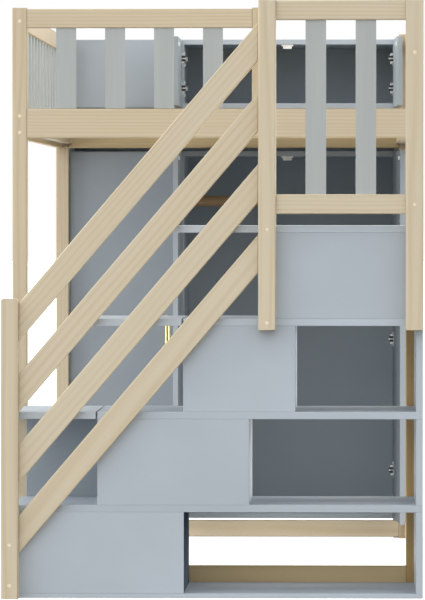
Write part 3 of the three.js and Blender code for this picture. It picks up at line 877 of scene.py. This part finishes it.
class LOFTBED_OT_doors(bpy.types.Operator):
    """Finish the six doors and their hinge cups"""

    bl_idname = "loftbed.doors"
    bl_label = "Doors"

    def execute(self, context):
        finish = finishes()
        steel = plated_metal("nickel hinge cup", finish.steel_colour, UP, 0.14, 0.3)
        for number, (row, column) in enumerate(DOORS):
            name = f"{row}_{column}_door"
            # Painted shade: darker copies of the paint on door fronts for each row, on some edges
            # and on some backs
            outer_shade_colour = toned(finish.board_colour, DOOR_SHADE_TONES[row])
            edge_shade_colour = toned(finish.board_colour, BOARD_SHADE_AND_LIGHT_TONES.get(name, 1.0))
            inner_shade_colour = toned(finish.inner_shade_colour, DOOR_BACK_SHADE_TONES.get(name, 1.0))
            paint = painted_board(f"painted {name}", outer_shade_colour, number + 61)
            inner = painted_board(f"painted back of {name}", inner_shade_colour, number + 71)
            edge = painted_board(f"painted edge of {name}", edge_shade_colour, number + 81)
            _, inward = door_ways(row, column)
            flange = max(door_reaches(row, column, inward))

            def choose(points, normal, inward=inward, flange=flange):
                depths = [flange - point.dot(inward) for point in points]
                proud = any(depth < PROUD for depth in depths)
                cup_floor = all(abs(depth - CUP_DEPTH) < 2 * PROUD for depth in depths)
                if proud or cup_floor:
                    return 2
                if looks(normal, inward):
                    return 1
                return 0 if looks(normal, -inward) else 3

            finish_node(name, (paint, inner, steel, edge), choose, finish.board_easing)
        return {"FINISHED"}


class LOFTBED_OT_hinge_fittings(bpy.types.Operator):
    """Make the screws, cup brackets and dark dampers of the concealed hinges"""

    bl_idname = "loftbed.hinge_fittings"
    bl_label = "Hinge Fittings"

    def execute(self, context):
        finish = finishes()
        self.steel = plated_metal("bright hinge steel", finish.steel_colour, UP, 0.1, 0.24)
        self.dark = moulded_plastic("dark damper plastic", finish.damper_colour, 0.45)
        for name, (side, rows) in HINGED_PANELS.items():
            self.dress_arms(name, side, rows)
        for row, column in DOORS:
            self.dress_cups(row, column)
        return {"FINISHED"}

    def screw(self, shape, point, normal, radius, height):
        """A pan head with a rim and a sunk middle."""
        outline = [
            (0, -SCREW_SUNK),
            (radius, -SCREW_SUNK),
            (radius, height * 0.5),
            (radius * 0.8, height),
            (radius * 0.4, height),
            (radius * 0.3, height * 0.3),
            (0, height * 0.3),
        ]
        turned(shape, outline, facing(point, normal), 16)

    def dress_arms(self, name, side, rows):
        """Two screws on each mounting plate, two screws and a damper on each arm."""
        face = hinged_face(name)
        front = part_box("wardrobe_floor")[0].y
        normal = ACROSS * side
        head = fittings().screw_diameter / 2
        screws, dampers = bmesh.new(), bmesh.new()
        for height in (height for row in rows for height in hinge_heights(row)):
            out, run = face + side * PLATE_PROUD, front + PLATE_SCREW_RUN
            for lift in (-PLATE_SCREW_LIFT, PLATE_SCREW_LIFT):
                place = Vector((out, run, height + lift))
                self.screw(screws, place, normal, head, PLATE_SCREW_HEIGHT)
            for run in ARM_SCREW_RUNS:
                place = Vector((face + side * ARM_PROUD, front + run, height))
                self.screw(screws, place, normal, head * 0.9, ARM_SCREW_HEIGHT)
            ends = sorted(face + side * proud for proud in DAMPER_PROUD)
            runs = [front + run for run in DAMPER_RUN]
            low = Vector((ends[0], runs[0], height - DAMPER_LIFT))
            high = Vector((ends[1], runs[1], height + DAMPER_LIFT))
            rounded_block(dampers, low, high, 0.3 * MM)
        panel = name.removeprefix("wardrobe_")
        mesh_piece(f"hinge_screws_{panel}", screws, self.steel, "frame")
        mesh_piece(f"hinge_dampers_{panel}", dampers, self.dark, "frame", smooth=False)

    def dress_cups(self, row, column):
        """A bracket with dampers in each cup, a screw at each end of its flange."""
        name = f"{row}_{column}_door"
        free, inward = door_ways(row, column)
        depths = door_reaches(row, column, inward)
        face = max(depths)
        corners = zip(door_reaches(row, column, free), depths)
        flange = [reach for reach, depth in corners if depth > face - PROUD]
        middle = (min(flange) + max(flange)) / 2
        screws, cheeks, dark = bmesh.new(), bmesh.new(), bmesh.new()
        head = fittings().screw_diameter / 2
        blocks = [(cheeks, *sizes, *CHEEK_FORM) for sizes in CUP_CHEEKS]
        blocks += [(dark, *sizes, *DAMPER_FORM) for sizes in CUP_DAMPERS]
        for height in hinge_heights(row):
            for lift in (-CUP_SCREW_LIFT, CUP_SCREW_LIFT):
                place = free * middle + inward * face + UP * (height + lift)
                self.screw(screws, place, inward, head, CUP_SCREW_HEIGHT)
            for shape, foot, top, proud, near, far, rounding, segments in blocks:
                inner = face - CUP_BLOCK_DEPTH
                low = Vector((middle + near * MM, inner, height + foot * MM))
                high = Vector((middle + far * MM, face + proud * MM, height + top * MM))
                rounded_block(shape, low, high, rounding * MM, segments)
        stand_on_door(cheeks, row, column)
        stand_on_door(dark, row, column)
        mesh_piece(f"{row}_{column}_cup_screws", screws, self.steel, name)
        mesh_piece(f"{row}_{column}_cup_cheeks", cheeks, self.steel, name, smooth=False)
        mesh_piece(f"{row}_{column}_cup_dampers", dark, self.dark, name, smooth=False)


class LOFTBED_OT_handles(bpy.types.Operator):
    """Make the bow handles of the lower doors"""

    bl_idname = "loftbed.handles"
    bl_label = "Bow Handles"

    def execute(self, context):
        brass = plated_metal("pale brass", finishes().brass_colour, UP, 0.36, 0.5)
        for column in DOOR_ANGLES["lower"]:
            node = f"{column}_handle"
            low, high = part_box(node)
            outward = -door_ways("lower", column)[1]
            base = (low + high) / 2 - outward * HANDLE_PROJECTION / 2
            shape = self.bow(base, outward, high.z - low.z)
            name, door = f"{column}_bow_handle", f"lower_{column}_door"
            bow = mesh_piece(name, shape, brass, door)
            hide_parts(node)
        return {"FINISHED"}

    def bow(self, base, outward, length):
        """A flattened bar, swept along the bow's middle line."""
        sideways = outward.cross(UP)
        half_width = fittings().handle_width / 2
        half_bar = 3 * MM
        steps, corners = 48, 12

        def middle_line(share):
            """Flat in the middle, and curved down to both feet."""
            reach, flat = length / 2 - HANDLE_FOOT, HANDLE_FLAT / 2
            along = -reach + 2 * reach * min(1.0, max(0.0, share))
            beyond = min(1.0, max(0.0, abs(along) - flat) / (reach - flat))
            rise = (0.5 + 0.5 * math.cos(math.pi * beyond)) * (HANDLE_PROJECTION - 2 * half_bar)
            return base + UP * along + outward * (rise + half_bar)

        def flattened(value):
            return math.copysign(abs(value) ** 0.6, value)

        shape = bmesh.new()
        rings = []
        for step in range(steps + 1):
            share = step / steps
            tangent = middle_line(share + 0.01) - middle_line(share - 0.01)
            thick = sideways.cross(tangent).normalized()
            ring = []
            for corner in range(corners):
                turn = math.tau * corner / corners
                offset = sideways * flattened(math.cos(turn)) * half_width
                offset += thick * flattened(math.sin(turn)) * half_bar
                ring.append(shape.verts.new(middle_line(share) + offset))
            rings.append(ring)
        join_rings(shape, rings)
        shape.faces.new(rings[0])
        shape.faces.new(rings[-1])
        return shape


class LOFTBED_OT_rod(bpy.types.Operator):
    """Make the wooden hanging rod"""

    bl_idname = "loftbed.rod"
    bl_label = "Hanging Rod"

    def execute(self, context):
        low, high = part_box("hanging_rod")
        middle = (low + high) / 2
        radius = (high.z - low.z) / 2
        length = high.x - low.x
        ease = 1.5 * MM
        end = [(0, 0), (radius - ease, 0), (radius - ease * 0.3, ease * 0.3), (radius, ease)]
        outline = end + [(reach, length - height) for reach, height in reversed(end)]
        shape = bmesh.new()
        turned(shape, outline, facing(Vector((low.x, middle.y, middle.z)), ACROSS), 40)
        colours = wood_colours("rod")
        material = wood("wood of the hanging rod", ACROSS, 90, *colours, 5 * MM)
        rod = mesh_piece("turned_rod", shape, material, "frame")
        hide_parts("hanging_rod")
        return {"FINISHED"}


class LOFTBED_OT_bolt_caps(bpy.types.Operator):
    """Make the cream caps over the bolts in the posts"""

    bl_idname = "loftbed.bolt_caps"
    bl_label = "Bolt Caps"

    def execute(self, context):
        cream = moulded_plastic("cream cap plastic", finishes().cap_colour, 0.42)
        radius = fittings().cap_diameter / 2
        top = fittings().cap_height - RECESS_DEPTH
        rim_height, rim_inset, rim_rise = top - 0.9 * MM, 1.6 * MM, 0.7 * MM
        outline = [(0, -RECESS_DEPTH), (radius, -RECESS_DEPTH), (radius, rim_height)]
        for step in range(1, 5):
            turn = step / 5 * math.pi / 2
            rim = radius - rim_inset * (1 - math.cos(turn))
            outline.append((rim, rim_height + rim_rise * math.sin(turn)))
        outline.append((0, top))
        shape = bmesh.new()
        for post, faces in CAPPED_POSTS.items():
            low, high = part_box(post)
            for normal, heights in faces:
                reach = abs((high - low).dot(normal)) / 2
                point = (low + high) / 2 + normal * reach
                for height in heights:
                    point.z = height
                    turned(shape, outline, facing(point, normal))
        mesh_piece("bolt_caps", shape, cream, "frame")
        return {"FINISHED"}


class LOFTBED_OT_strikes(bpy.types.Operator):
    """Make the catch plates on the inner faces of the doors"""

    bl_idname = "loftbed.strikes"
    bl_label = "Catch Plates"

    def execute(self, context):
        plastic = moulded_plastic("white catch plate", finishes().catch_colour, 0.38)
        fitting = fittings()
        roofs = {"lower": "wardrobe_lower_roof", "upper": "wardrobe_top"}
        for row, column in DOORS:
            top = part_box(roofs[row])[1].z - BOARD_THICKNESS - CATCH_HEIGHT
            free, inward = door_ways(row, column)
            face = max(door_reaches(row, column, inward)) - CUP_FLANGE
            far = max(door_reaches(row, column, free)) - STRIKE_INSET
            near = far - fitting.strike_width
            shape = bmesh.new()
            low = Vector((near, face - STRIKE_SUNK, top - fitting.strike_height))
            high = Vector((far, face + fitting.strike_thickness, top))
            rounded_block(shape, low, high, 0.9 * MM)
            stand_on_door(shape, row, column)
            door = f"{row}_{column}_door"
            mesh_piece(f"{row}_{column}_strike", shape, plastic, door, smooth=False)
        return {"FINISHED"}


class LOFTBED_OT_stage(bpy.types.Operator):
    """Lay the pale floor, set the soft light and place the camera"""

    bl_idname = "loftbed.stage"
    bl_label = "Stage"

    def execute(self, context):
        self.lay_floor()
        self.light_sky()
        self.hang_lights()
        self.place_camera()
        return {"FINISHED"}

    def lay_floor(self):
        stage = bpy.context.scene.loft_bed_stage
        finish = Finish("pale floor")
        cloud = finish.noise(finish.place, 0.8)
        colour = finishes().floor_colour
        material = finish.done(
            Base_Color=finish.blend(cloud, toned(colour, 0.985), colour),
            Roughness=0.9,
            Specular_IOR_Level=0.0,
            Emission_Color=(1.0, 1.0, 1.0, 1.0),
            Emission_Strength=stage.floor_glow,
        )
        mesh = bpy.data.meshes.new("floor")
        shape = bmesh.new()
        bmesh.ops.create_circle(shape, cap_ends=True, segments=64, radius=stage.floor_radius)
        shape.to_mesh(mesh)
        shape.free()
        mesh.materials.append(material)
        floor = bpy.data.objects.new("floor", mesh)
        floor.location = (0, 0, -FLOOR_DROP)
        floor.visible_diffuse = False
        bpy.context.scene.collection.objects.link(floor)

    def light_sky(self):
        """White behind the bed and in its polished parts, and a softer light on the rest."""
        world = bpy.data.worlds.new("white studio")
        world.use_nodes = True
        stage = bpy.context.scene.loft_bed_stage
        sky = NodeTree(world.node_tree)
        way = sky.value("ShaderNodeTexCoord", "Generated")
        aside, back, height = (
            sky.value("ShaderNodeSeparateXYZ", axis, None, {0: way}) for axis in "XYZ"
        )
        above = sky.band(height, 0.0, 1.0)
        dome = above * above * stage.top_light + stage.sky_light
        dome = dome + sky.band(back, 0.0, 1.0) * stage.back_light
        dome = dome + sky.band(aside, -1.0, 0.0, 1.0, 0.0) * stage.left_light
        soft = sky.band(height, -0.05, 0.05) * (dome - stage.ground_light) + stage.ground_light
        to_camera = sky.value("ShaderNodeLightPath", "Is Camera Ray")
        to_gloss = sky.value("ShaderNodeLightPath", "Is Glossy Ray")
        strength = soft + (1.0 - soft) * sky.band(to_camera + to_gloss, 0.0, 1.0)
        colour = (1.0, 1.0, 1.0, 1.0)
        light = sky.value("ShaderNodeBackground", 0, None, {"Color": colour, "Strength": strength})
        sky.node("ShaderNodeOutputWorld", None, {"Surface": light})
        bpy.context.scene.world = world
        bpy.context.scene.view_settings.view_transform = "Standard"

    def hang_lights(self):
        stage = bpy.context.scene.loft_bed_stage
        stairs, right_rail = (0.0, -1.1, 0.6), (0.5, -0.3, 0.1)
        self.add_light("front light", (-6.0, -12.5, 4.5), stairs, (5.0, 5.0), stage.front_power)
        self.add_light("low light", (-5.0, -0.4, 0.35), right_rail, (1.6, 0.5), stage.low_power)
        self.add_light("side light", (4.5, 2.2, 1.3), right_rail, (1.5, 1.5), stage.side_power)

    def add_light(self, name, place, aim, size, power):
        light = bpy.data.lights.new(name, "AREA")
        light.shape = "RECTANGLE"
        light.size, light.size_y = size
        light.energy = power
        lamp = bpy.data.objects.new(name, light)
        lamp.location = place
        towards = Vector(aim) - Vector(place)
        lamp.rotation_euler = towards.to_track_quat("-Z", "Y").to_euler()
        bpy.context.scene.collection.objects.link(lamp)

    def place_camera(self):
        stage = bpy.context.scene.loft_bed_stage
        stair_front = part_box("newel_post")[0].y
        camera = bpy.data.cameras.new("camera")
        camera.lens = stage.camera_lens
        camera.sensor_width = SENSOR_WIDTH
        camera.clip_start, camera.clip_end = 0.1, 400
        holder = bpy.data.objects.new("camera", camera)
        holder.location = (stage.camera_aside, stair_front - stage.camera_back, stage.camera_height)
        aim = Vector((AIM_ASIDE, stair_front, AIM_HEIGHT))
        holder.rotation_euler = (aim - holder.location).to_track_quat("-Z", "Y").to_euler()
        bpy.context.scene.collection.objects.link(holder)
        bpy.context.scene.camera = holder


PIECE_OPERATORS = (
    LOFTBED_OT_timber,
    LOFTBED_OT_guards,
    LOFTBED_OT_deck,
    LOFTBED_OT_staircase,
    LOFTBED_OT_wardrobe,
    LOFTBED_OT_doors,
    LOFTBED_OT_hinge_fittings,
    LOFTBED_OT_handles,
    LOFTBED_OT_rod,
    LOFTBED_OT_bolt_caps,
    LOFTBED_OT_strikes,
    LOFTBED_OT_stage,
)


class LOFTBED_PT_sidebar(bpy.types.Panel):
    """The steps that dress the bed, in order"""

    bl_idname = "LOFTBED_PT_sidebar"
    bl_label = "Loft Bed"
    bl_space_type = "VIEW_3D"
    bl_region_type = "UI"
    bl_category = "Loft Bed"

    def draw(self, context):
        for step in PIECE_OPERATORS:
            self.layout.operator(step.bl_idname)


SETTINGS = {
    "loft_bed_finishes": LoftBedFinishes,
    "loft_bed_fittings": LoftBedFittings,
    "loft_bed_stage": LoftBedStage,
}


def register():
    for group in (*SETTINGS.values(), *PIECE_OPERATORS, LOFTBED_PT_sidebar):
        bpy.utils.register_class(group)
    for name, group in SETTINGS.items():
        setattr(bpy.types.Scene, name, bpy.props.PointerProperty(type=group))


def unregister():
    for name in SETTINGS:
        delattr(bpy.types.Scene, name)
    for group in reversed((*SETTINGS.values(), *PIECE_OPERATORS, LOFTBED_PT_sidebar)):
        bpy.utils.unregister_class(group)


def main():
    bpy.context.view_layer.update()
    register()
    for step in PIECE_OPERATORS:
        section, name = step.bl_idname.split(".")
        getattr(getattr(bpy.ops, section), name)()


if __name__ == "__main__":
    main()
